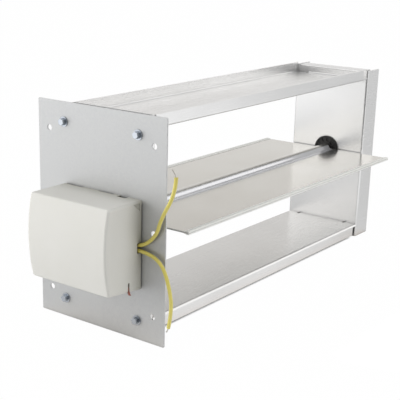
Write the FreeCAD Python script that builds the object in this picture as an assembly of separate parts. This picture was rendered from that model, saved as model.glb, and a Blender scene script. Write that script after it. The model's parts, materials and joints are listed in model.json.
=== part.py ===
import FreeCAD, Part
import math
import os

# Rectangular slip-in damper. Millimetres, +X along the blade away from the mounting plate, +Z up.
# The origin is the centre of the plate's duct-side face, on the blade axis.

V = FreeCAD.Vector
AX = V(1, 0, 0)

# frame: four channels behind a mounting plate
plate_w, plate_h, plate_t = 152.4, 209.6, 1.2
plate_corner = 1.2
insert_l = 447.7            # plate's back to the far end of the end channel
frame_h, frame_d = 203.2, 96.8
wall = 1.6                  # sheet of the four channels
bend, end_bend = 1.2, 0.5   # inner bend radii
rail_flange = 12.6
near_depth, far_depth = 18.2, 28.6
end_top_step, end_drop = 2.0, 3.2           # end channel against the frame's height
near_lip, lip_depth, lip_short = 11.4, 16.6, 2.6
tab_half, tab_h = 30.6, 8.2                 # rails' end tabs, and the slots beside them
relief, relief_l = 3.0, 5.0
top_flange_short, low_flange_short = 10.6, 8.4      # rails' front flanges stop before the end channel
flange_corner = 2.0

# holes and screws of the plate
hole_margin_y, hole_margin_z, hole_r = 13.7, 26.3, 2.8
screw_margin_y, screw_margin_z, screw_r = 4.2, 15.4, 2.0
hex_r, hex_h, washer_r, washer_h, screw_len = 3.2, 3.8, 4.8, 0.7, 10.2

# blade, shaft ends and bearings
blade_gap_near, blade_gap_far = 3.0, 3.6
blade_w, blade_t = 169.6, 1.6
tube_r, shaft_r = 6.4, 4.75
tube_crease = 4.5
fit = 0.05                  # radial running clearance
seal_t, seal_w, seal_grip = 3.4, 5.6, 4.2
seal_lip, seal_slope = 0.2, 3.4             # the strip's inner edge over the sheet, and its slope
seal_round, groove_w, groove_d = 0.5, 0.6, 0.35
flange_r, collar_r, pin_seat_r, collar_gap = 15.5, 8.0, 8.0, 0.1
shaft_hole_r, shaft_screw_seat = 7.0, 6.1
near_flange_t, end_flange_t, near_collar, end_collar = 1.6, 2.4, 4.6, 5.4
pin_grip, pin_head_in, flat_z = 40.0, 18.0, 3.75
shaft_bore, hub_floor, flat_w = 9.0, 9.0, 6.0
recess_r0, recess_r1, rib_count, rib_w = 9.0, 13.6, 12, 1.0     # ribbed recess in the end bearing's face
rib_recess = 1.2

# actuator cover
cover_y0, cover_y1 = -49.5, 44.5
cover_top, cover_bottom, cover_front_bottom = 28.6, -55.2, -51.0
cover_corner, cover_belly = 45.4, 50.6
cover_wall, cover_round = 2.0, 2.4
slit_1_y0, slit_1_y1, slit_2_y0, slit_2_y1 = 19.5, 40.0, -17.0, 1.0
notch_y0, notch_y1, notch_d, notch_base = -34.0, -24.5, 5.0, 4.0     # cable notch, and its depth in the base
cable_z0, cable_z1 = -19.4, -10.0
side_gap = 0.9
recess_x0, recess_x1, recess_z0, recess_z1, recess_d = -13.0, -4.4, 19.6, 26.4, 0.8

# actuator base, gear plate, posts and their screws
base_t, base_side_gap, base_low_gap, base_tab = 1.2, 1.9, 2.8, 6.6
gear_plate_t, gear_plate_corner = 1.2, 4.0
gear_plate_y0, gear_plate_y1, gear_plate_z0, gear_plate_z1 = -43.0, 37.0, -47.5, 22.0
gear_plate_in = -20.0
post_margin, post_r, small_screw_r, post_bore = 5.0, 3.0, 1.25, 7.0
base_screw_in, base_screw_low, base_screw_r = 3.0, 5.4, 2.0
base_screw_len, base_head_r, base_head_h = 8.4, 3.6, 2.2
left_screw_z, right_screw_z, low_screw_y = 4.0, -10.0, 6.0

# gears, motor, spring and stops
module, pressure = 1.0, math.radians(25)
output_teeth, wheel_teeth, pinion_teeth = 40, 36, 12
first_y, first_z = -22.0, -13.86
output_x0, output_x1 = -9.0, -13.0
wheel_x0, wheel_x1 = -14.2, -17.2
axle_r, hub_r, tooth_slack = 1.5, 3.4, 0.07
output_back_r, output_hub_r, hub_proud = 8.4, 6.2, 0.2
motor_r, motor_len, motor_turn, motor_step_r = 19.5, 17.0, -31.4, 9.0
ear_reach, ear_half, ear_t = 25.0, 3.6, 1.2
spring_r0, spring_r1, spring_t, spring_x0, spring_x1 = 8.9, 16.2, 0.6, -4.4, -8.0
spring_turns, spring_start = 4.0, 20.0
stop_r, lug_r, lug_half, lug_t = 1.5, 19.4, 3.0, 2.4
lug_angle, travel = 100.0, 90.0

# release lever and terminal block
lever_r, lever_t, lever_play = 6.0, 1.0, 0.5
lever_arm_top, lever_arm_low, lever_slot_top, lever_slot_in = 2.9, 6.2, 1.6, 5.0
lever_tip_out, lever_tip_low, lever_tip_w = 2.2, 12.8, 2.2
block_y0, block_y1, block_z0, block_z1, block_x = -42.0, -36.0, -20.0, -9.6, -9.4

# leads
lead_r, core_r = 1.7, 0.6
lead_x = -5.0
upper_route = [(lead_x, block_y0, -12.8), (lead_x, -53.4, -12.8), (lead_x, -69.1, 0.8),
               (lead_x - 0.3, -73.9, 16.9), (lead_x - 0.8, -89.4, 42.3), (lead_x - 1.2, -90.3, 56.8)]
lower_route = [(lead_x, block_y0, -16.8), (lead_x, -59.8, -16.8), (lead_x, -75.7, -23.9),
               (lead_x - 0.3, -84.5, -43.6), (lead_x - 0.8, -88.2, -64.0), (lead_x - 1.2, -84.8, -81.5)]
upper_core_end = (lead_x - 1.4, -86.1, 63.4)
lower_core_end = (lead_x - 1.4, -82.9, -85.6)
bare_start = 1.6            # straight start of a bare strand

# places that follow from them
plate_face = -plate_t
base_face = plate_face - base_t
rail_z = frame_h / 2 - rail_flange          # inner face of the top channel's web
end_top, end_bottom = frame_h / 2 - end_top_step, -frame_h / 2 - end_drop
near_top, near_bottom = frame_h / 2, -frame_h / 2
far_x = insert_l - far_depth                # inner face of the end channel
base_screw_y = frame_d / 2 - near_lip - base_screw_in
hole_y, hole_z = plate_w / 2 - hole_margin_y, plate_h / 2 - hole_margin_z
screw_y, screw_z = frame_d / 2 - screw_margin_y, frame_h / 2 - screw_margin_z
blade_x0, blade_x1 = near_depth + blade_gap_near, far_x - blade_gap_far
half_blade = blade_w / 2
gear_plate_out = gear_plate_in - gear_plate_t
base_y0, base_y1 = cover_y0 + cover_wall + base_side_gap, cover_y1 - cover_wall - base_side_gap
base_z0, base_z1 = cover_bottom + cover_wall + base_low_gap, cover_top - cover_wall


def box(x0, y0, z0, x1, y1, z1):
    return Part.makeBox(x1 - x0, y1 - y0, z1 - z0, V(x0, y0, z0))


def rod(r, x0, x1, y=0.0, z=0.0):
    a, b = min(x0, x1), max(x0, x1)
    return Part.makeCylinder(r, b - a, V(a, y, z), AX)


def slab(points, direction):
    """A flat polygon pushed along a direction."""
    return Part.Face(Part.makePolygon([V(*p) for p in points] + [V(*points[0])])).extrude(direction)


def joined(shapes):
    out = shapes[0]
    for s in shapes[1:]:
        out = out.fuse(s)
    return out.removeSplitter()


def less(shape, cutters):
    for c in cutters:
        shape = shape.cut(c)
    return shape


def straight_edges(shape, test):
    """Edges whose midpoint and direction pass a test."""
    picked = []
    for e in shape.Edges:
        if e.Curve.TypeId == "Part::GeomLine":
            a, b = e.Vertexes[0].Point, e.Vertexes[-1].Point
            if test((a + b) * 0.5, (b - a).normalize(), (b - a).Length):
                picked.append(e)
    return picked


def folded(run, thick, radius, direction, side=1):
    """Sheet folded along a run of points, thickness to one side, bends rounded inside and out."""
    pts = [V(*p) for p in run]
    unit = V(direction).normalize()
    inner = offset_run(pts, thick, unit, side)
    solid = Part.Face(Part.makePolygon(pts + inner[::-1] + [pts[0]])).extrude(direction)
    for corner, r in corner_radii(pts, inner, radius, thick):
        edges = straight_edges(solid, lambda m, d, l: abs(abs(d.dot(unit)) - 1) < 1e-6 and
                               near_line(m, corner, unit))
        solid = solid.makeFillet(r, edges)
    return solid


def near_line(p, corner, unit):
    d = p - corner
    return (d - unit * d.dot(unit)).Length < 1e-3


def offset_run(pts, thick, unit, side):
    """The run moved sideways by the sheet's thickness, mitred at each corner."""
    normals = [unit.cross((b - a).normalize()) * side for a, b in zip(pts, pts[1:])]
    out = [pts[0] + normals[0] * thick]
    for p, m, n in zip(pts[1:-1], normals, normals[1:]):
        mitre = m + n
        out.append(p + mitre * (2 * thick / mitre.Length ** 2))
    return out + [pts[-1] + normals[-1] * thick]


def corner_radii(pts, inner, radius, thick):
    pairs = []
    for i in range(1, len(pts) - 1):
        toward = (pts[i + 1] - pts[i]).normalize() - (pts[i] - pts[i - 1]).normalize()
        first_inside = (inner[i] - pts[i]).dot(toward) < 0
        pairs.append((pts[i], radius if first_inside else radius + thick))
        pairs.append((inner[i], radius + thick if first_inside else radius))
    return pairs


def hex_screw(x, y, z, shank_r):
    """Hexagon head with its washer, seated at x, head towards -X."""
    ring = [V(x - washer_h, y + hex_r * math.cos(math.radians(a)), z + hex_r * math.sin(math.radians(a)))
            for a in range(15, 375, 60)]
    head = Part.Face(Part.makePolygon(ring + [ring[0]])).extrude(V(-hex_h, 0, 0))
    return joined([rod(shank_r, x, x + screw_len, y, z), rod(washer_r, x - washer_h, x, y, z), head])


def cheese_screw(x, y, z, shank_r, length, head_r=None, head_h=None):
    """Cheese-head screw with a cross slot, seated at x, head towards -X."""
    r, h = head_r or 2 * shank_r + 0.1, head_h or 1.4 * shank_r
    head = rod(r, x - h, x, y, z)
    slot_w, slot_l = 0.28 * shank_r, 0.55 * r
    head = less(head, [box(x - h - 1, y - slot_l, z - slot_w, x - 0.45 * h, y + slot_l, z + slot_w),
                       box(x - h - 1, y - slot_w, z - slot_l, x - 0.45 * h, y + slot_w, z + slot_l)])
    return joined([rod(shank_r, x, x + length, y, z), head])


def gear_points(teeth, phase, y, z, x):
    """Outline of an involute gear with a tooth centred on the angle phase."""
    pitch_r = module * teeth / 2
    base_r = pitch_r * math.cos(pressure)
    tip_r, root_r = pitch_r + module, pitch_r - 1.25 * module
    half = math.pi / (2 * teeth) - tooth_slack / pitch_r + math.tan(pressure) - pressure

    def half_angle(r):
        if r <= base_r:
            return half
        a = math.acos(base_r / r)
        return half - (math.tan(a) - a)
    start = max(base_r, root_r)
    flank = [start, (start + tip_r) / 2, tip_r]
    pts = []
    for i in range(teeth):
        c = phase + 2 * math.pi * i / teeth
        if root_r < start - 0.05:
            pts.append((root_r, c - half_angle(start)))
        pts += [(r, c - half_angle(r)) for r in flank]
        pts += [(r, c + half_angle(r)) for r in reversed(flank)]
        if root_r < start - 0.05:
            pts.append((root_r, c + half_angle(start)))
    return [V(x, y + r * math.cos(a), z + r * math.sin(a)) for r, a in pts]


def gear(teeth, phase, x0, x1, y, z):
    pts = gear_points(teeth, phase, y, z, x0)
    return Part.Face(Part.makePolygon(pts + [pts[0]])).extrude(V(x1 - x0, 0, 0))


def between(p, q, radius):
    return Part.makeCylinder(radius, (q - p).Length, p, q - p)


def cord(points, radius):
    """Straight round runs joined by tangent arcs along a route; returns the solid and its bend radii."""
    pts = [V(*p) for p in points]
    pieces, radii, last = [], [], pts[0]
    for before, corner, after in zip(pts, pts[1:], pts[2:]):
        a, b = before - corner, after - corner
        cut = 0.45 * min(a.Length, b.Length)
        a, b = a.normalize(), b.normalize()
        half_turn = (math.pi - a.getAngle(b)) / 2
        radii.append(cut / math.tan(half_turn))
        centre = corner + (a + b).normalize() * (radii[-1] / math.cos(half_turn))
        start, end = corner + a * cut, corner + b * cut
        disc = Part.Face(Part.Wire([Part.Circle(start, a, radius).toShape()]))
        axis = (start - centre).cross(end - centre)
        pieces += [between(last, start, radius), disc.revolve(centre, axis, math.degrees(2 * half_turn))]
        last = end
    pieces.append(between(last, pts[-1], radius))
    return joined(pieces), radii


def mounting_plate():
    plate = box(-plate_t, -plate_w / 2, -plate_h / 2, 0, plate_w / 2, plate_h / 2)
    plate = plate.makeFillet(plate_corner, straight_edges(plate, lambda m, d, l: abs(abs(d.x) - 1) < 1e-6))
    holes = [rod(shaft_hole_r, -plate_t - 1, 1)]
    holes += [rod(hole_r, -plate_t - 1, 1, s * hole_y, z) for s in (-1, 1) for z in (-hole_z, 0, hole_z)]
    holes += [rod(screw_r + fit, -plate_t - 1, 1, y, z) for y, z in frame_screws()]
    holes += [rod(base_screw_r + fit, -plate_t - 1, 1, y, z) for y, z in base_screw_places()]
    return less(plate, holes)


def frame_screws():
    return [(sy * screw_y, sz * screw_z) for sy in (-1, 1) for sz in (-1, 1)]


def base_screw_places():
    return [(-base_screw_y, left_screw_z), (base_screw_y, right_screw_z),
            (low_screw_y, base_z0 + base_screw_low)]


def near_channel():
    """Lipped channel behind the plate, its web towards the blade."""
    y, d = frame_d / 2, near_depth
    run = [(0, near_lip - y, near_bottom), (0, -y, near_bottom), (d, -y, near_bottom),
           (d, y, near_bottom), (0, y, near_bottom), (0, y - near_lip, near_bottom)]
    solid = folded(run, wall, bend, V(0, 0, near_top - near_bottom), 1)
    holes = [rod(collar_r + collar_gap, d - 3, d + 1)]
    holes += [rod(screw_r + fit, -1, wall + 1, a, b) for a, b in frame_screws()]
    return less(solid, holes)


def end_channel():
    """Far channel: web towards the blade, side flanges and short top and bottom lips turned outward."""
    y = frame_d / 2
    run = [(insert_l, -y, end_bottom), (far_x, -y, end_bottom), (far_x, y, end_bottom),
           (insert_l, y, end_bottom)]
    solid = folded(run, wall, end_bend, V(0, 0, end_top - end_bottom), -1)
    inside = y - wall - bend - lip_short
    lips = []
    for z, s in ((end_bottom, 1), (end_top, -1)):
        lip = box(far_x, -inside, min(z, z + s * wall), far_x + lip_depth, inside, max(z, z + s * wall))
        rounded = straight_edges(lip, lambda m, d, l: abs(abs(d.y) - 1) < 1e-6 and
                                 abs(m.x - far_x) < 1e-6 and abs(m.z - z) < 1e-6)
        lips.append(lip.makeFillet(wall - 0.2, rounded))
        solid = solid.cut(box(far_x - 1, -inside, min(z, z + s * wall), far_x + wall, inside,
                              max(z, z + s * wall)))
    solid = joined([solid] + lips)
    return less(solid, [rod(pin_seat_r + collar_gap, far_x - 1, far_x + 3)])


def rail(up):
    """Top channel with its flanges up, or the bottom channel with them down, and its end tabs."""
    y, z, length = frame_d / 2, rail_z, far_x - near_depth
    inner = wall + 1.5
    run = [(near_depth, -y, z + rail_flange), (near_depth, -y, z), (near_depth, y, z),
           (near_depth, y, z + rail_flange)]
    solid = folded(run, wall, bend, V(length, 0, 0), 1)
    stop, rim = far_x - (top_flange_short if up else low_flange_short), z + rail_flange
    solid = solid.cut(box(stop, -y - 1, z + wall + bend, far_x + 1, 0, rim + 1))
    corner = straight_edges(solid, lambda m, d, l: abs(abs(d.y) - 1) < 1e-6 and
                            abs(m.x - stop) < 1e-6 and abs(m.z - rim) < 1e-6)
    solid = solid.makeFillet(flange_corner, corner)
    tabs = []
    for x, d in ((near_depth, 1), (far_x, -1)):
        a, b = min(x, x + d * wall), max(x, x + d * wall)
        tab = box(a, -tab_half, z, b, tab_half, z + tab_h)
        foot = box(min(x, x + d * inner), -tab_half, z, max(x, x + d * inner), tab_half, z + inner)
        hollow = Part.makeCylinder(1.5, 2 * tab_half, V(x + d * inner, -tab_half, z + inner), V(0, 1, 0))
        tabs += [tab, foot.cut(hollow)]
        for side in (-1, 1):
            y0 = side * tab_half
            notch = box(min(x - d, x + d * relief_l), min(y0, y0 + side * relief), z - 1,
                        max(x - d, x + d * relief_l), max(y0, y0 + side * relief), z + wall + 0.5)
            solid = solid.cut(notch)
    solid = joined([solid] + tabs)
    if not up:
        solid = solid.mirror(V(0, 0, 0), V(0, 0, 1))
    return solid


def near_bearing():
    body = joined([rod(flange_r, near_depth, near_depth + near_flange_t),
                   rod(collar_r, near_depth - near_collar, near_depth)])
    return less(body, [rod(shaft_r + fit, 0, near_depth + near_flange_t + 1)])


def end_bearing():
    """Flanged bush with a ribbed recess in its face and a blind bore for the pin."""
    face = far_x - end_flange_t
    disc = rod(flange_r, face, far_x)
    rim = [e for e in disc.Edges if e.Curve.TypeId == "Part::GeomCircle" and
           abs(e.Curve.Center.x - face) < 1e-6]
    body = joined([disc.makeChamfer(0.5, rim), rod(pin_seat_r, far_x, far_x + end_collar)])
    ring = rod(recess_r1, face - 1, face + rib_recess).cut(rod(recess_r0, face - 2, far_x))
    for i in range(rib_count):
        rib = box(face - 2, 0, -rib_w / 2, far_x, flange_r, rib_w / 2)
        rib.rotate(V(0, 0, 0), AX, 360 * i / rib_count)
        ring = ring.cut(rib)
    return less(body, [ring, rod(shaft_r + fit, face - 1, far_x + end_collar - 1.2)])


def blade():
    edge = half_blade - seal_w + seal_grip
    x0, length = blade_x0, blade_x1 - blade_x0
    sheet = box(x0, -edge, -blade_t / 2, x0 + length, edge, blade_t / 2)
    tube = rod(tube_r, x0, x0 + length)
    solid = joined([sheet, tube])
    creases = straight_edges(solid, lambda m, d, l: l > 300 and abs(abs(d.x) - 1) < 1e-6 and
                             abs(m.y) < tube_r + 1)
    solid = solid.makeFillet(tube_crease, creases)
    holes = [rod(shaft_r + fit, x0 - 1, x0 + length + 1)]
    for x in shaft_screw_places():
        holes.append(box(x - 3.4, -3.4, -tube_r - 1, x + 3.4, 3.4, -shaft_screw_seat))
        holes.append(shaft_hole(x))
    return less(solid, holes)


def shaft_screw_places():
    return (blade_x0 + pin_head_in, blade_x1 - pin_head_in)


def edge_seal(side):
    """Push-on strip on one long edge, thin where it starts, with a fine groove along its outer face."""
    outer, inner = half_blade, half_blade - seal_w
    x0, x1 = blade_x0, blade_x1
    low, high, full = blade_t / 2 + seal_lip, seal_t / 2, inner + seal_slope
    strip = slab([(x0, inner, -low), (x0, full, -high), (x0, outer, -high), (x0, outer, high),
                  (x0, full, high), (x0, inner, low)], V(x1 - x0, 0, 0))
    strip = strip.makeFillet(seal_round, straight_edges(strip, lambda m, d, l: l > 300 and m.y > outer - 0.1))
    strip = less(strip, [box(x0 - 1, inner - 1, -blade_t / 2, x1 + 1, inner + seal_grip, blade_t / 2),
                         box(x0 - 1, outer - groove_d, -groove_w / 2, x1 + 1, outer + 1, groove_w / 2)])
    if side < 0:
        strip = strip.mirror(V(0, 0, 0), V(0, 1, 0))
    return strip


def shaft_hole(x):
    return Part.makeCylinder(axle_r + fit, tube_r, V(x, 0, -tube_r - 1), V(0, 0, 1))


def drive_shaft():
    """Round shaft from the blade's tube to the gear plate, with a flat for the output gear."""
    end = gear_plate_out - hub_proud
    solid = rod(shaft_r, end, blade_x0 + pin_grip)
    flat = box(end - 1, -flat_w, flat_z, output_x0 + 0.6, flat_w, flat_w)
    tap = rod(axle_r + fit, end - 1, end + shaft_bore)
    return less(solid, [flat, tap, shaft_hole(shaft_screw_places()[0])])


def pivot_pin():
    pin = rod(shaft_r, blade_x1 - pin_grip, far_x + end_collar - 1.5)
    return less(pin, [shaft_hole(shaft_screw_places()[1])])


def shaft_screws():
    out = []
    for x in shaft_screw_places():
        s = cheese_screw(0, 0, 0, axle_r, 4.9)
        s.rotate(V(0, 0, 0), V(0, 1, 0), -90)
        s.translate(V(x, 0, -shaft_screw_seat))
        out.append(s)
    return Part.makeCompound(out)


def plate_screws():
    return Part.makeCompound([hex_screw(plate_face, y, z, screw_r) for y, z in frame_screws()])


def actuator_base():
    plate = box(base_face, base_y0, base_z0, plate_face, base_y1, base_z1)
    tabs = [box(base_face - base_tab, a, base_z1 - base_t, plate_face, b, base_z1) for a, b in top_slits()]
    solid = joined([plate] + tabs)
    holes = [rod(shaft_hole_r - 0.4, base_face - 1, 0),
             box(base_face - 1, notch_y0, base_z1 - notch_base, 0, notch_y1, base_z1 + 1)]
    holes += [rod(base_screw_r + fit, base_face - 1, 0, y, z) for y, z in base_screw_places()]
    return less(solid, holes)


def top_slits():
    return ((slit_1_y0, slit_1_y1), (slit_2_y0, slit_2_y1))


def post_places():
    y0, y1 = gear_plate_y0 + post_margin, gear_plate_y1 - post_margin
    z0, z1 = gear_plate_z0 + post_margin, gear_plate_z1 - post_margin
    return [(y0, z1), (y1, z1), (y1, z0), (y0, z0)]


def base_screws():
    return Part.makeCompound([cheese_screw(base_face, y, z, base_screw_r, base_screw_len, base_head_r, base_head_h)
                              for y, z in base_screw_places()])


def gear_posts():
    bore_r, a, b = small_screw_r + fit, gear_plate_in - 1, gear_plate_in + post_bore
    return Part.makeCompound([rod(post_r, base_face, gear_plate_in, y, z).cut(rod(bore_r, a, b, y, z))
                              for y, z in post_places()])


def motor_place():
    """The motor centre, one pinion and wheel centre distance from the first gear."""
    c = module * (wheel_teeth + pinion_teeth) / 2
    a = math.radians(motor_turn)
    return first_y + c * math.cos(a), first_z + c * math.sin(a)


def gear_plate():
    a, b = gear_plate_out, gear_plate_in
    plate = box(a, gear_plate_y0, gear_plate_z0, b, gear_plate_y1, gear_plate_z1)
    plate = plate.makeFillet(gear_plate_corner, straight_edges(plate, lambda m, d, l: abs(abs(d.x) - 1) < 1e-6))
    holes = [rod(output_hub_r + fit, a - 1, b + 1), rod(axle_r + fit, a - 1, b + 1, first_y, first_z),
             rod(axle_r + 0.9, a - 1, b + 1, *motor_place())]
    holes += [rod(small_screw_r + fit, a - 1, b + 1, y, z) for y, z in post_places() + motor_screw_places()]
    return less(plate, holes)


def gear_plate_screws():
    return Part.makeCompound([cheese_screw(gear_plate_out, y, z, small_screw_r, gear_plate_t + 5)
                              for y, z in post_places()])


def motor_screw_places():
    y, z = motor_place()
    return [(y + ear_reach, z), (y - ear_reach, z)]


def motor_can():
    """Round can with a step on its outer end and a strap with two ears at its seat."""
    y, z = motor_place()
    back, out = gear_plate_out, gear_plate_out - motor_len
    can = rod(motor_r, back, out, y, z)
    rim = [e for e in can.Edges if e.Curve.TypeId == "Part::GeomCircle" and abs(e.Curve.Center.x - out) < 1e-6]
    ears = box(back - ear_t, y - ear_reach - ear_half, z - ear_half, back, y + ear_reach + ear_half, z + ear_half)
    solid = joined([can.makeChamfer(1.2, rim), ears, rod(motor_step_r, out - 1.2, out + 0.5, y, z)])
    holes = [rod(axle_r + fit, back - 5, back + 1, y, z)]
    holes += [rod(small_screw_r + fit, back - ear_t - 1, back + 1, a, b) for a, b in motor_screw_places()]
    return less(solid, holes)


def motor_screws():
    return Part.makeCompound([cheese_screw(gear_plate_out - ear_t, y, z, small_screw_r, ear_t + gear_plate_t + 1.5)
                              for y, z in motor_screw_places()])


def motor_pinion():
    y, z = motor_place()
    phase = math.atan2(first_z - z, first_y - y) + math.pi / pinion_teeth
    teeth = gear(pinion_teeth, phase, wheel_x0 + 0.3, wheel_x1 - 1.4, y, z)
    return joined([teeth, rod(axle_r, wheel_x0 + 0.3, gear_plate_out - 4.6, y, z)])


def first_gear():
    my, mz = motor_place()
    to_motor = math.atan2(mz - first_z, my - first_y)
    to_output = math.atan2(-first_z, -first_y)
    wheel = gear(wheel_teeth, to_motor, wheel_x0, wheel_x1, first_y, first_z)
    small = gear(pinion_teeth, to_output + math.pi / pinion_teeth, output_x0 + 0.4, wheel_x0,
                 first_y, first_z)
    hubs = [rod(hub_r, base_face - 0.3, output_x0 + 0.4, first_y, first_z),
            rod(hub_r, wheel_x1, gear_plate_in + 0.3, first_y, first_z)]
    return less(joined([wheel, small] + hubs),
                [rod(axle_r + fit, base_face, gear_plate_out, first_y, first_z)])


def first_axle():
    return rod(axle_r, base_face, gear_plate_out - 0.6, first_y, first_z)


def polar(r, degrees):
    return r * math.cos(math.radians(degrees)), r * math.sin(math.radians(degrees))


def output_gear():
    """Gear on the shaft's flat, with a hub each side and the lug that meets the stops."""
    teeth = gear(output_teeth, math.atan2(first_z, first_y), output_x0, output_x1, 0, 0)
    back = rod(output_back_r, base_face - 0.8, output_x0)
    front = rod(output_hub_r, output_x1, gear_plate_out - hub_proud)
    lug = box(output_x0, lug_r - lug_t / 2, -lug_half, output_x0 + 2.2, lug_r + lug_t / 2, lug_half)
    lug.rotate(V(0, 0, 0), AX, lug_angle)
    flat = box(gear_plate_out - hub_floor, -flat_w, flat_z + fit, output_x0 + 0.5, flat_w, flat_w)
    bore = rod(shaft_r + fit, 0, gear_plate_out - hub_floor).cut(flat)
    return less(joined([teeth, back, front, lug]), [bore])


def stop_places():
    """The two stops, each a little past the lug's side at its end of the travel."""
    turn = math.degrees((lug_half + stop_r + 0.2) / lug_r)
    return [polar(lug_r, lug_angle - turn), polar(lug_r, lug_angle + travel + turn)]


def travel_stops():
    return Part.makeCompound([rod(stop_r, base_face, output_x0 + 0.6, y, z) for y, z in stop_places()])


def hub_screw():
    return cheese_screw(gear_plate_out - hub_proud, 0, 0, axle_r, 8.5, output_hub_r - 0.6, 2.4)


def spiral(r0, r1, turns, start, x0, x1, thick):
    """Flat spring coiled about the shaft."""
    n = int(turns * 20)
    inner, outer = [], []
    for i in range(n + 1):
        a = math.radians(start) + 2 * math.pi * turns * i / n
        r = r0 + (r1 - r0) * i / n
        inner.append(V(x0, r * math.cos(a), r * math.sin(a)))
        outer.append(V(x0, (r + thick) * math.cos(a), (r + thick) * math.sin(a)))
    return Part.Face(Part.makePolygon(inner + outer[::-1] + [inner[0]])).extrude(V(x1 - x0, 0, 0))


def return_spring():
    return spiral(spring_r0, spring_r1, spring_turns, spring_start, spring_x0, spring_x1, spring_t)


def spring_post():
    y, z = polar(spring_r1 + spring_t + stop_r + 0.02, spring_start)
    return rod(stop_r, base_face, output_x0 + 0.5, y, z)


def release_lever():
    """Thin lever turning on the lower post, its red tip slanting down out of the cover's slot."""
    y, z = post_places()[3]
    x0, x1 = gear_plate_in + lever_play, gear_plate_in + lever_play + lever_t
    ring = rod(lever_r, x0, x1, y, z)
    wall_y, tip_y, tip_z = cover_y0 + cover_wall, cover_y0 - lever_tip_out, z - lever_tip_low
    arm = slab([(x0, y, z - lever_arm_top), (x0, wall_y, z - lever_arm_top), (x0, tip_y, tip_z),
                (x0, tip_y + lever_tip_w, tip_z), (x0, wall_y + lever_tip_w, z - lever_arm_low),
                (x0, y, z - lever_arm_low)], V(lever_t, 0, 0))
    return less(joined([ring, arm]), [rod(post_r + fit, x0 - 1, x1 + 1, y, z)])


def terminal_block():
    solid = box(block_x, block_y0, block_z0, base_face, block_y1, block_z1)
    return solid.makeFillet(0.6, straight_edges(solid, lambda m, d, l: abs(m.x - block_x) < 1e-6))


def cover_profile(inset, y):
    """Side outline of the cover: flat top, belly at the front, bottom rising towards the front."""
    rear = plate_face
    top, low, front_low = cover_top - inset, cover_bottom + inset, cover_front_bottom + inset
    corner, belly = -(cover_corner - inset), -(cover_belly - inset)
    a, b = V(rear, y, top), V(corner, y, top)
    c, d = V(corner, y, front_low), V(rear, y, low)
    front = Part.Arc(b, V(belly, y, (top + front_low) / 2), c).toShape()
    return Part.Face(Part.Wire([Part.LineSegment(a, b).toShape(), front, Part.LineSegment(c, d).toShape(),
                                Part.LineSegment(d, a).toShape()]))


def actuator_cover():
    """Moulded cover: soft edges, open back, slits at the top, side gap, cable notch and lever slit."""
    outer = cover_profile(0, cover_y0).extrude(V(0, cover_y1 - cover_y0, 0))
    soft = [e for e in outer.Edges if not all(abs(v.X - plate_face) < 1e-6 for v in e.Vertexes)]
    outer = outer.makeFillet(cover_round, soft)
    hollow = cover_profile(cover_wall, cover_y0 + cover_wall)
    hollow = hollow.extrude(V(0, cover_y1 - cover_y0 - 2 * cover_wall, 0))
    hollow = hollow.fuse(box(plate_face - 1, cover_y0 + cover_wall, cover_bottom + cover_wall, plate_face + 5,
                             cover_y1 - cover_wall, cover_top - cover_wall))
    side_in, side_out = cover_y0 + cover_wall + 0.5, cover_y0 - 1
    slit_low = cover_top - cover_wall - 1
    lever_z = post_places()[3][1]
    cuts = [box(plate_face - 1.5, a, slit_low, 1, b, cover_top + 1) for a, b in top_slits()]
    cuts.append(box(plate_face - notch_d, notch_y0, slit_low, 1, notch_y1, cover_top + 1))
    cuts.append(box(plate_face - side_gap, side_out, cover_bottom + 3, 1, side_in, cover_top - 3))
    cuts.append(box(lead_x - lead_r - 1, side_out, cable_z0, 1, side_in, cable_z1))
    cuts.append(box(gear_plate_in, side_out, cover_bottom - 1, gear_plate_in + lever_t + 2 * lever_play,
                    cover_y0 + lever_slot_in, lever_z - lever_slot_top))
    cuts.append(slab([(recess_x0, cover_y0 + recess_d, recess_z1), (recess_x1, cover_y0 + recess_d, recess_z1),
                      (recess_x1, cover_y0 + recess_d, recess_z0)], V(0, -3, 0)))
    return less(outer.cut(hollow), cuts)


def lead(route, name):
    solid, radii = cord(route, lead_r)
    print(name, "radii", [round(r, 1) for r in radii])
    return solid


def core(route, tip):
    """Bare strand leaving the end of a lead and bending towards its tip."""
    end = V(*route[-1])
    knee = end + (end - V(*route[-2])).normalize() * bare_start
    return cord([tuple(end), tuple(knee), tip], core_r)[0]


def write(node, solid):
    if not solid.isValid():
        print("INVALID", node)
    solid.exportStep("parts/" + node + ".step")
    print(node, round(solid.Volume, 1), len(solid.Solids))


def build():
    os.makedirs("parts", exist_ok=True)
    write("mounting_plate", mounting_plate())
    write("near_channel", near_channel())
    write("end_channel", end_channel())
    write("top_channel", rail(True))
    write("bottom_channel", rail(False))
    write("plate_screws", plate_screws())
    write("near_bearing", near_bearing())
    write("end_bearing", end_bearing())
    write("blade", blade())
    write("front_edge_seal", edge_seal(-1))
    write("rear_edge_seal", edge_seal(1))
    write("drive_shaft", drive_shaft())
    write("pivot_pin", pivot_pin())
    write("shaft_screws", shaft_screws())
    write("actuator_base", actuator_base())
    write("base_screws", base_screws())
    write("gear_posts", gear_posts())
    write("gear_plate", gear_plate())
    write("gear_plate_screws", gear_plate_screws())
    write("motor_can", motor_can())
    write("motor_screws", motor_screws())
    write("motor_pinion", motor_pinion())
    write("first_gear", first_gear())
    write("first_axle", first_axle())
    write("output_gear", output_gear())
    write("hub_screw", hub_screw())
    write("return_spring", return_spring())
    write("spring_post", spring_post())
    write("travel_stops", travel_stops())
    write("release_lever", release_lever())
    write("terminal_block", terminal_block())
    write("actuator_cover", actuator_cover())
    write("upper_lead", lead(upper_route, "upper lead"))
    write("lower_lead", lead(lower_route, "lower lead"))
    write("upper_lead_core", core(upper_route, upper_core_end))
    write("lower_lead_core", core(lower_route, lower_core_end))


build()
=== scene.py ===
import json

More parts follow.
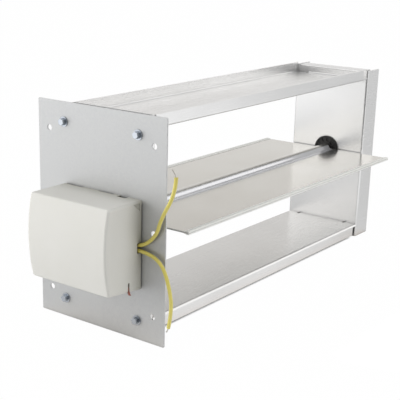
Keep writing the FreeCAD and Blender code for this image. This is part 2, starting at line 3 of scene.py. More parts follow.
import bpy
import numpy as np
from mathutils import Matrix, Vector


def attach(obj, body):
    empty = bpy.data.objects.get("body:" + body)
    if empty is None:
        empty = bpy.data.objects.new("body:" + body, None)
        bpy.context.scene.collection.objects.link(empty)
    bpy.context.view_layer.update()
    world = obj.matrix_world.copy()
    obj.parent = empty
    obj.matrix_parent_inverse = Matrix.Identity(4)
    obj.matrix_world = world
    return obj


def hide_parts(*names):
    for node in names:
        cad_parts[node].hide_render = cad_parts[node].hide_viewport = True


# Rectangular slip-in damper: rolled aluminium channels and blade, a galvanised mounting plate with a
# moulded actuator cover, and two short leads. Metres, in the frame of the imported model, except for the
# leads' values, which are in mm.

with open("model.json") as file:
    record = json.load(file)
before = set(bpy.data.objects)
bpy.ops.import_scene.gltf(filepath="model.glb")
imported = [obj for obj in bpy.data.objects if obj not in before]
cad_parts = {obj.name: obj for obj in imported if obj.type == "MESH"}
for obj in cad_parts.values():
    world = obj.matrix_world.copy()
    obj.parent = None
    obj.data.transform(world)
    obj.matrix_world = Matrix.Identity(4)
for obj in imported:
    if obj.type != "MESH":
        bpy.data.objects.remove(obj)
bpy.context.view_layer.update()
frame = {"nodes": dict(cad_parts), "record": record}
nodes = frame["nodes"]

MM = 0.001
WHITE = (1.0, 1.0, 1.0, 1.0)

# shader building blocks
FLOAT, VECTOR = "NodeSocketFloat", "NodeSocketVector"
MIX_SHARE, MIX_FIRST, MIX_SECOND, MIX_RESULT = 0, 6, 7, 2       # sockets of a Mix node set to colours


def supply(tree, socket, source):
    """The socket takes a link when the source is a socket, or else the source's value."""
    if isinstance(source, bpy.types.NodeSocket):
        tree.links.new(source, socket)
    else:
        socket.default_value = source


def add(tree, kind, sockets=(), **properties):
    """A node with its properties set and its sockets, by name or number, supplied."""
    node = tree.nodes.new(kind)
    for name, value in properties.items():
        setattr(node, name, value)
    for key, source in dict(sockets).items():
        supply(tree, node.inputs[key], source)
    return node


def spread(tree, source, low, high, to_low=0.0, to_high=1.0):
    """Source moved from low..high to to_low..to_high, held at the ends."""
    return add(tree, "ShaderNodeMapRange", {0: source, 1: low, 2: high, 3: to_low, 4: to_high}).outputs[0]


def ramp(tree, mask, start, end):
    """Start where the mask is 0, end where it is 1."""
    return spread(tree, mask, 0.0, 1.0, start, end)


def inverse(tree, mask):
    """1 where the mask is 0, and 0 where it is 1."""
    return ramp(tree, mask, 1.0, 0.0)


def blend(tree, share, first, second, mode="MIX"):
    """The first colour going over to the second as the share rises, or another mode of the two."""
    return add(tree, "ShaderNodeMix", {MIX_SHARE: share, MIX_FIRST: first, MIX_SECOND: second},
               data_type="RGBA", blend_type=mode).outputs[MIX_RESULT]


def calculated(tree, operation, first, second):
    """One operation on two values, each a socket or a number."""
    return add(tree, "ShaderNodeMath", {0: first, 1: second}, operation=operation).outputs[0]


def product(tree, first, *factors):
    """All the factors multiplied."""
    for factor in factors:
        first = calculated(tree, "MULTIPLY", first, factor)
    return first


def total(tree, first, second):
    """Sum of two values."""
    return calculated(tree, "ADD", first, second)


def larger(tree, first, second):
    """The larger of two values."""
    return calculated(tree, "MAXIMUM", first, second)


def own_place(tree):
    """The point's place in its piece's own coordinates."""
    return add(tree, "ShaderNodeTexCoord").outputs["Object"]


def noise(tree, place, scale, detail, roughness):
    """Noise at a place; scale is in marks per metre."""
    return add(tree, "ShaderNodeTexNoise", {"Vector": place, "Scale": scale, "Detail": detail,
                                            "Roughness": roughness}).outputs[0]


# effects that several finishes share
SAMPLES = 6                             # of the rounded edges and of the painted shade in seams
EDGE_COSINES = (0.995, 0.90)            # between flat and rounded normal, where the edge mask is 0 and 1
OPEN_RANGE = (0.15, 0.85)               # share of open surroundings that counts as closed in and as open
NOISE_RANGE = (0.3, 0.7)                # values of a noise that are spread over 0..1
CLOUD_RANGE = (0.35, 0.65)
PATCH_RANGE = (0.35, 0.68)
SPANGLE_WARP = 0.006                    # how far noise bends the crystals' outlines


def new_group(name, inputs, outputs):
    """An empty shader node group with named sockets, and its input and output nodes."""
    tree = bpy.data.node_groups.new(name, "ShaderNodeTree")
    for label, kind, value in inputs:
        tree.interface.new_socket(name=label, in_out="INPUT", socket_type=kind).default_value = value
    for label, kind in outputs:
        tree.interface.new_socket(name=label, in_out="OUTPUT", socket_type=kind)
    return tree, tree.nodes.new("NodeGroupInput"), tree.nodes.new("NodeGroupOutput")


def put_out(tree, out, **values):
    """The group gives each value at the output of that name."""
    for name, value in values.items():
        supply(tree, out.inputs[name], value)
    return tree


def soft_edge_group():
    """Normal rounded over a radius at every edge, and a mask that is 1 on the rounding."""
    tree, given, out = new_group("soft_edge", [("Radius", FLOAT, 0.0003)],
                                 [("Normal", VECTOR), ("Edge", FLOAT)])
    bevel = add(tree, "ShaderNodeBevel", {"Radius": given.outputs["Radius"]}, samples=SAMPLES).outputs[0]
    flat = add(tree, "ShaderNodeNewGeometry").outputs["Normal"]
    turn = add(tree, "ShaderNodeVectorMath", {0: bevel, 1: flat}, operation="DOT_PRODUCT").outputs["Value"]
    return put_out(tree, out, Normal=bevel, Edge=spread(tree, turn, *EDGE_COSINES))


def rolled_group():
    """Rolling marks of sheet metal: noise drawn out by the stretch, with broad clouds under it."""
    tree, given, out = new_group("rolled", [("Stretch", VECTOR, (1.0, 60.0, 60.0))],
                                 [("Streak", FLOAT), ("Cloud", FLOAT)])
    place = own_place(tree)
    drawn = add(tree, "ShaderNodeMapping", {"Vector": place, "Scale": given.outputs["Stretch"]}).outputs[0]
    streak = noise(tree, drawn, scale=22.0, detail=5.0, roughness=0.65)
    cloud = noise(tree, place, scale=14.0, detail=3.0, roughness=0.5)
    return put_out(tree, out, Streak=spread(tree, streak, *NOISE_RANGE),
                   Cloud=spread(tree, cloud, *CLOUD_RANGE))


def spangle_group():
    """Zinc spangle: warped Voronoi crystals, each with its own tone, and a fine frost over them."""
    tree, given, out = new_group("spangle", [("Scale", FLOAT, 260.0)], [("Crystal", FLOAT), ("Frost", FLOAT)])
    place = own_place(tree)
    warp = add(tree, "ShaderNodeTexNoise", {"Vector": place, "Scale": 180.0, "Detail": 2.0}).outputs["Color"]
    bent = add(tree, "ShaderNodeVectorMath", {0: warp, "Scale": SPANGLE_WARP}, operation="SCALE").outputs[0]
    moved = add(tree, "ShaderNodeVectorMath", {0: place, 1: bent}, operation="ADD").outputs[0]
    cells = add(tree, "ShaderNodeTexVoronoi", {"Vector": moved, "Scale": given.outputs["Scale"]})
    crystal = add(tree, "ShaderNodeSeparateColor", {0: cells.outputs["Color"]}).outputs[0]
    frost = noise(tree, place, scale=900.0, detail=4.0, roughness=0.7)
    return put_out(tree, out, Crystal=crystal, Frost=spread(tree, frost, *NOISE_RANGE))


def grain_group():
    """Fine moulded or cast grain as a height, and slow patches of handling marks."""
    tree, given, out = new_group("grain", [("Scale", FLOAT, 1400.0)], [("Height", FLOAT), ("Patch", FLOAT)])
    place = own_place(tree)
    fine = noise(tree, place, scale=given.outputs["Scale"], detail=3.0, roughness=0.6)
    patch = noise(tree, place, scale=26.0, detail=4.0, roughness=0.55)
    return put_out(tree, out, Height=fine, Patch=spread(tree, patch, *PATCH_RANGE))


def recess_group():
    """How open a point is: 1 in the open, towards 0 in seams, slots and narrow channels."""
    tree, given, out = new_group("recess", [("Reach", FLOAT, 0.01)], [("Open", FLOAT)])
    near = add(tree, "ShaderNodeAmbientOcclusion", {"Distance": given.outputs["Reach"]}, samples=SAMPLES)
    return put_out(tree, out, Open=spread(tree, near.outputs["AO"], *OPEN_RANGE))


GROUPS = {group.name: group for group in (soft_edge_group(), rolled_group(), spangle_group(), grain_group(),
                                          recess_group())}


def use(tree, name, **values):
    """One of the groups, placed in a material with its own values."""
    return add(tree, "ShaderNodeGroup", values, node_tree=GROUPS[name])


# finishes
EDGE_RADIUS = 0.0004
FINE_EDGE_RADIUS = 0.0003
# Painted shade: each finish's colour is darkened where the surface is closed in, as shade in corners, creases
# and recesses
PLAIN_PAINTED_SHADE = (0.004, (0.70, 0.70, 0.70))        # reach of the painted shade in corners and recesses, and the shade in linear values
SHEET_PAINTED_SHADE = (0.006, (0.60, 0.60, 0.60))
BLADE_PAINTED_SHADE = (0.006, (0.90, 0.90, 0.90))
# the screws' flats painted almost black where closed in, as shade
SCREW_PAINTED_SHADE = (0.005, (0.22, 0.24, 0.26))
# the cover painted darker and olive towards the plate, as shade in the corner
COVER_PAINTED_SHADE = (0.028, (0.30, 0.295, 0.22))
# the leads painted darker and olive where closed in, as shade underneath and between them
LEAD_PAINTED_SHADE = (0.006, (0.42, 0.38, 0.20))

# Painted highlight: a lighter, bluish tone on the front of the blade's tube, where it is also less metallic
TUBE_FOOT = (-0.0150, -0.0095)          # Y between which the tube's painted highlight sets in, before the tube
TUBE_TOP = (-0.0046, -0.0032)           # Y between which it goes out again, before the tube's top
TUBE_METALLIC = 0.55


def rgb(r, g, b):
    """8-bit colour as written on screen, to the shader's linear values by the sRGB curve."""
    def one(c):
        c /= 255
        return c / 12.92 if c <= 0.04045 else ((c + 0.055) / 1.055) ** 2.4
    return (one(r), one(g), one(b), 1.0)


def new_finish(name, metallic, edge_radius=EDGE_RADIUS):
    """A material with its shader and the rounded edges every piece gets."""
    made = bpy.data.materials.new(name)
    made.use_nodes = True
    tree = made.node_tree
    tree.nodes.clear()
    shader = add(tree, "ShaderNodeBsdfPrincipled", {"Metallic": metallic})
    add(tree, "ShaderNodeOutputMaterial", {"Surface": shader.outputs[0]})
    return made, tree, shader, use(tree, "soft_edge", Radius=edge_radius)


def coloured_with_painted_shade(tree, shader, tone, painted_shade=PLAIN_PAINTED_SHADE):
    """The tone goes to the shader, multiplied by a painted shade where the surface is closed in,
    standing in for shade in corners and recesses.
    """
    reach, shade = painted_shade
    painted_darkening = blend(tree, use(tree, "recess", Reach=reach).outputs["Open"], (*shade, 1.0), WHITE)
    supply(tree, shader.inputs["Base Color"], blend(tree, 1.0, tone, painted_darkening, "MULTIPLY"))


def relief(tree, shader, edge, height, strength, distance):
    """Bump over the rounded normal."""
    bump = add(tree, "ShaderNodeBump", {"Height": height, "Normal": edge.outputs["Normal"],
                                        "Strength": strength, "Distance": distance})
    supply(tree, shader.inputs["Normal"], bump.outputs[0])


def tube_painted_highlight(tree):
    """1 on the front of the tube along the blade's middle and on its foot, where a painted highlight goes,
    0 on the flat sheet.
    """
    across = add(tree, "ShaderNodeSeparateXYZ", {0: own_place(tree)}).outputs["Y"]
    return product(tree, spread(tree, across, *TUBE_FOOT), spread(tree, across, *TUBE_TOP, 1.0, 0.0))


def sheet_metal(name, light, dark, roughness=(0.25, 0.28), metallic=0.9, painted_shade=SHEET_PAINTED_SHADE, tube=None):
    """Rolled sheet: streaks along the roll change tone and gloss a little, cut edges are brighter. A tube
    gets a painted highlight, a lighter tone, on its front and is less metallic there."""
    streak_share, edge_share = 0.2, 0.8
    worn = (238, 238, 236)
    made, tree, shader, edge = new_finish(name, metallic)
    rolled = use(tree, "rolled")
    tone = blend(tree, rolled.outputs["Cloud"], rgb(*dark), rgb(*light))
    tone = blend(tree, ramp(tree, rolled.outputs["Streak"], 0.0, streak_share), tone, rgb(*light))
    tone = blend(tree, ramp(tree, edge.outputs["Edge"], 0.0, edge_share), tone, rgb(*worn))
    if tube:
        share = tube_painted_highlight(tree)
        tone = blend(tree, share, tone, rgb(*tube))
        supply(tree, shader.inputs["Metallic"], ramp(tree, share, metallic, TUBE_METALLIC))
    coloured_with_painted_shade(tree, shader, tone, painted_shade)
    supply(tree, shader.inputs["Roughness"], ramp(tree, rolled.outputs["Streak"], *roughness))
    relief(tree, shader, edge, rolled.outputs["Streak"], strength=0.02, distance=0.00003)
    return made


def galvanised(name, light, dark):
    """Zinc-coated sheet: crystals of slightly different tone and gloss under a fine frost, with clouds that
    stretch upwards."""
    cloud_share, frost_share, edge_share, roughness = (0.15, 0.6), 0.12, 0.7, (0.42, 0.50)
    frost_dark, frost_light, worn = (90, 90, 90), (220, 220, 220), (226, 229, 229)
    made, tree, shader, edge = new_finish(name, metallic=0.6)
    zinc = use(tree, "spangle", Scale=420.0)
    cloud = use(tree, "rolled", Stretch=(60.0, 60.0, 1.5)).outputs["Cloud"]
    frost = blend(tree, zinc.outputs["Frost"], rgb(*frost_dark), rgb(*frost_light))
    tone = blend(tree, zinc.outputs["Crystal"], rgb(*dark), rgb(*light))
    tone = blend(tree, ramp(tree, cloud, *cloud_share), tone, rgb(*light))
    tone = blend(tree, frost_share, tone, frost, "SOFT_LIGHT")
    tone = blend(tree, ramp(tree, edge.outputs["Edge"], 0.0, edge_share), tone, rgb(*worn))
    coloured_with_painted_shade(tree, shader, tone)
    supply(tree, shader.inputs["Roughness"], ramp(tree, zinc.outputs["Crystal"], *roughness))
    relief(tree, shader, edge, zinc.outputs["Frost"], strength=0.10, distance=0.00004)
    return made


def moulded(name, colour, patch, roughness, grain, depth=0.00003, edge_radius=EDGE_RADIUS, painted_shade=PLAIN_PAINTED_SHADE):
    """Moulded plastic: fine grain, soft patches, edges a shade lighter."""
    edge_lift, edge_share, swing = 14, 0.5, 0.05
    made, tree, shader, edge = new_finish(name, metallic=0.0, edge_radius=edge_radius)
    cast = use(tree, "grain", Scale=grain)
    tone = blend(tree, cast.outputs["Patch"], rgb(*patch), rgb(*colour))
    lighter = [min(255, c + edge_lift) for c in colour]
    tone = blend(tree, ramp(tree, edge.outputs["Edge"], 0.0, edge_share), tone, rgb(*lighter))
    coloured_with_painted_shade(tree, shader, tone, painted_shade)
    supply(tree, shader.inputs["Roughness"],
           ramp(tree, cast.outputs["Patch"], roughness - swing, roughness + swing))
    relief(tree, shader, edge, cast.outputs["Height"], strength=0.25, distance=depth)
    return made


def turned_metal(name, colour, dark, roughness=(0.22, 0.36), metallic=1.0, painted_shade=PLAIN_PAINTED_SHADE):
    """Plated or turned small metal parts: fine marks and slightly darker patches."""
    made, tree, shader, edge = new_finish(name, metallic, FINE_EDGE_RADIUS)
    cast = use(tree, "grain", Scale=2600.0)
    coloured_with_painted_shade(tree, shader, blend(tree, cast.outputs["Patch"], rgb(*dark), rgb(*colour)), painted_shade)
    supply(tree, shader.inputs["Roughness"], spread(tree, cast.outputs["Height"], *NOISE_RANGE, *roughness))
    relief(tree, shader, edge, cast.outputs["Height"], strength=0.15, distance=0.00004)
    return made


FINISHES = {
    "galvanised": galvanised("galvanised_plate", (207, 208, 208), (201, 202, 203)),
    "channel_metal": sheet_metal("rolled_channel", (240, 240, 240), (235, 235, 235), roughness=(0.24, 0.28),
                                 metallic=0.8),
    "blade_metal": sheet_metal("rolled_blade", (229, 228, 224), (223, 221, 216), roughness=(0.17, 0.20),
                               # the tube's colour is a painted bluish-white highlight on its front
                               painted_shade=BLADE_PAINTED_SHADE, tube=(245, 246, 250)),
    "zinc": turned_metal("bright_zinc", (212, 218, 226), (186, 192, 200), roughness=(0.16, 0.24),
                         painted_shade=SCREW_PAINTED_SHADE),
    "shaft_steel": turned_metal("turned_steel", (196, 196, 194), (160, 160, 158)),
    "bearing_black": moulded("black_bearing", (30, 30, 29), (20, 20, 20), roughness=0.42, grain=1800.0),
    "seal_grey": moulded("edge_strip", (246, 246, 242), (239, 239, 234), roughness=0.45, grain=1800.0),
    "base_steel": sheet_metal("base_sheet", (200, 200, 196), (184, 184, 180)),
    "motor_steel": turned_metal("motor_can_plate", (205, 205, 200), (176, 176, 172)),
    "gear_nylon": moulded("gear_nylon_white", (226, 223, 212), (216, 212, 200), roughness=0.4, grain=1200.0),
    "pinion_brass": turned_metal("pinion_brass_cut", (214, 180, 106), (184, 146, 76)),
    "spring_steel": turned_metal("blued_spring", (108, 112, 124), (78, 82, 96)),
    "lever_red": moulded("red_lever", (166, 104, 90), (146, 88, 75), roughness=0.4, grain=1600.0),
    "block_plastic": moulded("terminal_plastic", (62, 62, 60), (48, 48, 46), roughness=0.45, grain=1600.0),
    "cover_beige": moulded("cover_plastic", (224, 223, 218), (221, 220, 214), roughness=0.5, grain=1500.0,
                           depth=0.00004, edge_radius=0.0005, painted_shade=COVER_PAINTED_SHADE),
    "lead_yellow": moulded("lead_jacket", (230, 218, 122), (220, 206, 104), roughness=0.34, grain=1500.0,
                           depth=0.00002, edge_radius=0.0002, painted_shade=LEAD_PAINTED_SHADE),
    "strand_copper": turned_metal("tinned_copper", (232, 229, 222), (218, 214, 206), metallic=0.6),
}

for row in frame["record"]["subparts"]:
    for holder in nodes[row["node"]].material_slots:
        holder.material = FINISHES[row["material_slot"]]

# leads, with their routes in mm, as in the part's source
LEAD_X = -5.0
UPPER_ROUTE = [(LEAD_X, -42.0, -12.8), (LEAD_X, -53.4, -12.8), (LEAD_X, -69.1, 0.8),
               (LEAD_X - 0.3, -73.9, 16.9), (LEAD_X - 0.8, -89.4, 42.3), (LEAD_X - 1.2, -90.3, 56.8)]
LOWER_ROUTE = [(LEAD_X, -42.0, -16.8), (LEAD_X, -59.8, -16.8), (LEAD_X, -75.7, -23.9),
               (LEAD_X - 0.3, -84.5, -43.6), (LEAD_X - 0.8, -88.2, -64.0), (LEAD_X - 1.2, -84.8, -81.5)]
UPPER_TIP = (LEAD_X - 1.4, -86.1, 63.4)
LOWER_TIP = (LEAD_X - 1.4, -82.9, -85.6)
LEAD_R = 1.7
STRAND_BACK = 1.5                       # how far inside the jacket the strand starts
STRAND_OUT = 1.6                        # how far it goes on straight before it bends to its tip
WIRES, WIRE_R, WIRE_LAY = 6, 0.22, 0.36     # wires round the middle one, their radius, their distance from it
WIRE_TURNS = 1.6                        # turns over the strand's length
WIRE_OPENING = 0.5                      # share by which the wires stand further apart at the tip
WIRE_RINGS, WIRE_SIDES = 40, 10         # rings along a wire, and points on a ring
STEEP = 0.9                             # Z share from which a direction is too near Z to be squared with it


def own(piece, body, finish, *replaced):
    """The piece rides on its body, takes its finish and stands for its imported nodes."""
    bpy.context.scene.collection.objects.link(piece)
    piece.data.materials.append(FINISHES[finish])
    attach(piece, body)
    if replaced:
        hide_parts(*replaced)
    return piece


def new_object(name, places, faces):
    """An object over a mesh of places (n, 3) and faces."""
    mesh = bpy.data.meshes.new(name)
    mesh.from_pydata(places.tolist(), [], faces)
    mesh.polygons.foreach_set("use_smooth", [True] * len(mesh.polygons))
    mesh.update()
    return bpy.data.objects.new(name, mesh)


def tubes(name, places):
    """Closed tubes in one mesh, over an array of places (tube, ring, point, 3): quads between neighbouring
    rings, the last point of a ring joined to its first, and one face over each end."""
    count, rings, sides = places.shape[:3]
    ring, point = np.meshgrid(np.arange(rings - 1), np.arange(sides), indexing="ij")
    here, beside = ring * sides + point, ring * sides + (point + 1) % sides
    quads = np.stack([here, beside, beside + sides, here + sides], -1).reshape(-1, 4)
    ends = np.stack([np.arange(sides)[::-1], (rings - 1) * sides + np.arange(sides)])
    first = np.arange(count)[:, None, None] * rings * sides
    faces = (first + quads).reshape(-1, 4).tolist() + (first + ends).reshape(-1, sides).tolist()
    return new_object(name, places.reshape(-1, 3), faces)


def spline(name, points, bevel=0.0):
    """A NURBS curve with the route's points as its control points, round where it has a bevel."""
    curve = bpy.data.curves.new(name, "CURVE")
    curve.dimensions = "3D"
    line = curve.splines.new("NURBS")
    line.points.add(len(points) - 1)
    for point, place in zip(line.points, points):
        point.co = (*[c * MM for c in place], 1.0)
    line.order_u = 3
    line.use_endpoint_u = True
    line.resolution_u = 24
    curve.bevel_depth = bevel
    curve.bevel_resolution = 8
    curve.use_fill_caps = bevel > 0
    return bpy.data.objects.new(name, curve)


def followed(route):
    """Points along a route's spline."""
    guide = spline("guide", route)
    bpy.context.scene.collection.objects.link(guide)
    mesh = bpy.data.meshes.new_from_object(guide)
    points = np.array([v.co for v in mesh.vertices])
    bpy.data.objects.remove(guide)
    bpy.data.meshes.remove(mesh)
    return points


def sides_along(line):
    """Two normals at each point of a line: the first is square to the line and to Z, or to X where the line
    starts steeply, and the second is square to the line and to the first."""
    tangent = np.gradient(line, axis=0)
    tangent /= np.linalg.norm(tangent, axis=1)[:, None]
    side = np.cross(tangent, (0.0, 0.0, 1.0) if abs(tangent[0, 2]) < STEEP else (1.0, 0.0, 0.0))
    side /= np.linalg.norm(side, axis=1)[:, None]
    return side, np.cross(tangent, side)


def strand(name, route):
    """Bare twisted strand. At the share t of its length, wire k stands round the route's line at the angle
    2 pi (k / wires + turns t) and the distance lay (1 + opening t^3). One more wire lies in the middle."""
    t = np.linspace(0, 1, WIRE_RINGS)
    points = followed(route)
    along = np.linspace(0, 1, len(points))
    line = np.stack([np.interp(t, along, points[:, c]) for c in range(3)], 1)
    side, up = sides_along(line)
    angle = 2 * np.pi * (np.arange(WIRES)[:, None] / WIRES + WIRE_TURNS * t)
    away = side * np.cos(angle)[:, :, None] + up * np.sin(angle)[:, :, None]
    wound = line + away * (WIRE_LAY * MM * (1 + WIRE_OPENING * t ** 3))[:, None]
    centres = np.concatenate([wound, line[None]])
    around = np.linspace(0, 2 * np.pi, WIRE_SIDES, endpoint=False)[:, None]
    ring = side[:, None] * np.cos(around) + up[:, None] * np.sin(around)
    return tubes(name, centres[:, :, None] + ring * WIRE_R * MM)


def lead(name, route, tip):
    """Insulated lead with its bare twisted strand."""
    end, before = np.array(route[-1]), np.array(route[-2])
    along = (end - before) / np.linalg.norm(end - before)
    bare = strand(name + "_strand", [tuple(end - along * STRAND_BACK), tuple(end + along * STRAND_OUT), tip])
    own(bare, "frame", "strand_copper", name + "_core")
    wire = own(spline(name + "_wire", route, LEAD_R * MM), "frame", "lead_yellow", name)


lead("upper_lead", UPPER_ROUTE, UPPER_TIP)
lead("lower_lead", LOWER_ROUTE, LOWER_TIP)

# stage and light
# The camera sees a white floor and a white world. The object is lit by a plain room and two softboxes. What
# its metal mirrors is painted reflection: the floor and the room glow brighter or darker with the direction,
# as in a studio that is lit on one side.

DARK_SIDE = (-0.79, -0.61, 0.0)         # towards the unlit side of the studio, behind the camera, painted darker in the floor and the room
LEFT_SIDE = (-0.60, 0.79, 0.12)         # towards the larger softbox, left of the camera
TOP_SIDE = (0.45, -0.35, 0.82)          # towards a painted bright patch, a white ceiling panel over the far end, seen only in reflections
WALL_SIDE = (0.78, -0.60, 0.20)         # towards a painted bright wall that the tube and the bends mirror
FAR_SIDE = (0.71, 0.71, 0.0)            # away from the painted pool of light on the floor
POOL_SIDE = (0.30, 0.95, 0.0)           # towards the brightest painted patch of floor, mirrored by the end channel
FRONT_SIDE = (0.0, -1.0, 0.0)           # across the blade, towards the photo's right
PLATE_SIDE = (-1.0, 0.0, 0.0)           # in front of the mounting plate
UPWARDS = (0.0, 0.0, 1.0)


def ray_masks(tree):
    """1 for the camera's own rays, and 1 for rays that were mirrored or let through."""
    path = tree.nodes.new("ShaderNodeLightPath")
    return (path.outputs["Is Camera Ray"],
            larger(tree, path.outputs["Is Glossy Ray"], path.outputs["Is Transmission Ray"]))


def towards(tree, vector, side, start, end):
    """0 up to start along the side's direction, rising smoothly to 1 at end."""
    along = add(tree, "ShaderNodeVectorMath", {0: vector, 1: side}, operation="DOT_PRODUCT").outputs["Value"]
    return add(tree, "ShaderNodeMapRange", {0: along, 1: start, 2: end},
               interpolation_type="SMOOTHSTEP").outputs[0]


FLOOR_Z = -0.1049                       # just under the mounting plate's lower edge
FLOOR_REACH = 8.0
FLOOR_PALE = (0.86, 0.86, 0.86, 1.0)
# painted shade: the floor's dark on the unlit side, seen by the light on the object only
FLOOR_UNLIT = (0.12, 0.12, 0.12, 1.0)
UNLIT_SHARE = 0.3                       # how much of the painted dark on the unlit side counts for the light on the object
WHITE_SHARE = 0.99                      # of white in the floor that the camera sees, away from the shadow
MIRRORED_FLOOR = 1.12                   # brightness of the floor that is mirrored, a glowing painted reflection
FAR_FLOOR, PLATE_FLOOR, POOL_FLOOR = 0.56, 0.78, 1.25       # factors of it at these sides, painted darker and lighter
FRONT_FLOOR = 0.78                      # painted shade: factor of it under and behind the object, save at the left
FLOOR_SHADE = (1.0, 0.92, 0.83, 1.0)    # painted warm shade of the mirrored floor under the object

# Where each part of the floor starts and is complete, in metres along its side's direction
UNLIT_FLOOR_FROM = (0.05, 0.30)
LEFT_FLOOR_FROM = (0.10, 0.45)
FAR_FLOOR_FROM = (0.10, 0.45)
FRONT_FLOOR_FROM = (0.04, 0.35)
PLATE_FLOOR_FROM = (-0.02, 0.04)
PLATE_FLOOR_UNTIL = (0.10, 0.45)
POOL_FLOOR_FROM = (0.30, 0.40)

# The object's shadow on the floor: its reach, and the openness between which it goes from full to none. To
# the camera it uncovers the floor's own shading; to mirrored rays it is a painted shadow with a painted warm
# tint.
SHADOW_REACH = 0.06
SEEN_SHADOW = (0.10, 0.32)
MIRRORED_SHADOW = (0.15, 0.55)
SHADOW_TINT = (0.4, 0.95)


def pale_floor():
    """White to the camera with the object's soft shadow, diffuse to the light and painted darker at its unlit
    side, and to mirrored rays a glowing painted pool of light that grows darker at the unlit and the far side
    and under the object."""
    made = bpy.data.materials.new("pale_floor")
    made.use_nodes = True
    tree = made.node_tree
    tree.nodes.clear()
    seen, mirrored = ray_masks(tree)
    ground = own_place(tree)
    openness = add(tree, "ShaderNodeAmbientOcclusion", {"Distance": SHADOW_REACH}).outputs["AO"]

    # painted shade on the unlit side, lifted at the left
    left = towards(tree, ground, LEFT_SIDE, *LEFT_FLOOR_FROM)
    unlit = product(tree, towards(tree, ground, DARK_SIDE, *UNLIT_FLOOR_FROM), inverse(tree, left))
    tone = blend(tree, product(tree, inverse(tree, seen), unlit, UNLIT_SHARE), FLOOR_PALE, FLOOR_UNLIT)
    surface = add(tree, "ShaderNodeBsdfDiffuse", {"Color": tone})

    # painted pool of light and painted shade, glowing only to mirrored rays
    far = ramp(tree, towards(tree, ground, FAR_SIDE, *FAR_FLOOR_FROM), 1.0, FAR_FLOOR)
    front = ramp(tree, towards(tree, ground, FRONT_SIDE, *FRONT_FLOOR_FROM), FRONT_FLOOR, 1.0)
    plate = product(tree, towards(tree, ground, PLATE_SIDE, *PLATE_FLOOR_FROM),
                    inverse(tree, towards(tree, ground, PLATE_SIDE, *PLATE_FLOOR_UNTIL)))
    pool = ramp(tree, towards(tree, ground, POOL_SIDE, *POOL_FLOOR_FROM), 1.0, POOL_FLOOR)
    lit = product(tree, inverse(tree, unlit), far, larger(tree, front, left), pool,
                  ramp(tree, plate, 1.0, PLATE_FLOOR), spread(tree, openness, *MIRRORED_SHADOW),
                  MIRRORED_FLOOR)
    plain = larger(tree, seen, spread(tree, openness, *SHADOW_TINT))
    glow = add(tree, "ShaderNodeEmission", {"Strength": larger(tree, seen, lit),
                                            "Color": blend(tree, plain, FLOOR_SHADE, WHITE)})

    white = product(tree, seen, spread(tree, openness, *SEEN_SHADOW), WHITE_SHARE)
    mixed = add(tree, "ShaderNodeMixShader", {0: larger(tree, white, mirrored), 1: surface.outputs[0],
                                              2: glow.outputs[0]})
    add(tree, "ShaderNodeOutputMaterial", {"Surface": mixed.outputs[0]})
    return made


corners = [(x * FLOOR_REACH, y * FLOOR_REACH, FLOOR_Z) for x, y in ((-1, -1), (1, -1), (1, 1), (-1, 1))]
floor = new_object("floor", np.array(corners), [(0, 1, 2, 3)])
floor.data.materials.append(pale_floor())
bpy.context.scene.collection.objects.link(floor)

EVEN_LIGHT, LIGHT_FROM_ABOVE = 0.39, 0.36       # the room's own light on the object
ABOVE_FROM = (0.1, 0.9)
MIRRORED_LOW, MIRRORED_HIGH = 0.92, 0.62        # brightness of the painted reflection of the room, low and high in it
MIRRORED_HEIGHTS = (0.14, 0.34)
UNLIT_ROOM = 0.45                               # painted darker factor of it at the unlit side
UNLIT_ROOM_FROM = (0.30, 0.85)
# Painted bright patches in it, seen only in reflections: side, the cosines between which each sets in, and
# what each adds
PATCHES = [(LEFT_SIDE, 0.40, 0.92, 0.55), (TOP_SIDE, 0.40, 0.95, 0.35), (WALL_SIDE, 0.80, 0.98, 0.25)]
WARM_WALL = (1.0, 0.965, 0.92, 1.0)             # a painted band of warm wall between two heights, seen only in reflections
WARM_FROM, WARM_UNTIL = (0.14, 0.28), (0.36, 0.50)


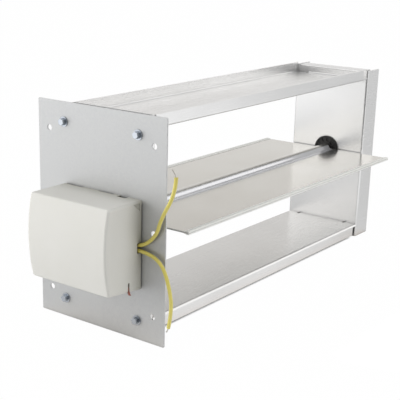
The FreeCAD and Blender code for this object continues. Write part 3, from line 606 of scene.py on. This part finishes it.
def soft_room():
    """White to the camera, even and brighter from above to the light, and to mirrored rays a painted
    reflection of a room that grows darker upwards and towards its unlit side, with painted bright patches and
    a warm band."""
    made = bpy.data.worlds.new("soft_room")
    made.use_nodes = True
    tree = made.node_tree
    tree.nodes.clear()
    seen, mirrored = ray_masks(tree)
    view = add(tree, "ShaderNodeTexCoord").outputs["Generated"]
    height = add(tree, "ShaderNodeSeparateXYZ", {0: view}).outputs["Z"]

    above = towards(tree, view, UPWARDS, *ABOVE_FROM)
    plain = total(tree, EVEN_LIGHT, product(tree, above, LIGHT_FROM_ABOVE))
    unlit = towards(tree, view, DARK_SIDE, *UNLIT_ROOM_FROM)
    shown = product(tree, spread(tree, height, *MIRRORED_HEIGHTS, MIRRORED_LOW, MIRRORED_HIGH),
                    ramp(tree, unlit, 1.0, UNLIT_ROOM))
    for side, start, end, gain in PATCHES:
        shown = total(tree, shown, product(tree, towards(tree, view, side, start, end), gain))
    level = total(tree, product(tree, mirrored, shown), product(tree, inverse(tree, mirrored), plain))
    warm = product(tree, mirrored, spread(tree, height, *WARM_FROM),
                   spread(tree, height, *WARM_UNTIL, 1.0, 0.0))
    room = add(tree, "ShaderNodeBackground", {"Color": blend(tree, warm, WHITE, WARM_WALL),
                                              "Strength": larger(tree, level, seen)})
    add(tree, "ShaderNodeOutputWorld", {"Surface": room.outputs[0]})
    return made


bpy.context.scene.world = soft_room()

LIT_POINT = (0.1, 0.0, 0.0)


def softbox(name, place, size, power):
    """A rectangular lamp turned to the lit point, hidden from mirrored rays. Metal mirrors the room's painted
    bright patches in its place.
    """
    lamp = bpy.data.lights.new(name, "AREA")
    lamp.shape = "RECTANGLE"
    lamp.size, lamp.size_y = size
    lamp.energy = power
    holder = bpy.data.objects.new(name, lamp)
    holder.location = place
    holder.rotation_mode = "QUATERNION"
    holder.rotation_quaternion = (Vector(LIT_POINT) - Vector(place)).to_track_quat("-Z", "Y")
    holder.visible_glossy = False
    bpy.context.scene.collection.objects.link(holder)


softbox("left_box", place=(-1.0, 1.35, 0.35), size=(1.8, 1.0), power=23.5)
softbox("right_box", place=(0.35, -1.4, 0.45), size=(1.6, 1.0), power=5.5)

# camera, its place and directions solved from the photo's edges
CAMERA_PLACE = (-0.641435, -0.573300, 0.256645)
RIGHT = Vector((0.61424783, -0.78892094, 0.01741724))
UP = Vector((0.22657135, 0.19746335, 0.95376813))
LOOK = Vector((0.75588692, 0.58190376, -0.30003831))

lens = bpy.data.cameras.new("camera")
lens.sensor_width = 36.0
lens.lens = 87.903
lens.shift_x, lens.shift_y = 0.07615, 0.0889
lens.clip_start, lens.clip_end = 0.02, 60.0
camera = bpy.data.objects.new("camera", lens)
turn = Matrix((RIGHT, UP, -LOOK)).transposed().to_4x4()
camera.matrix_world = Matrix.Translation(CAMERA_PLACE) @ turn
bpy.context.scene.collection.objects.link(camera)
bpy.context.scene.camera = camera

bpy.context.scene.view_settings.view_transform = "Standard"
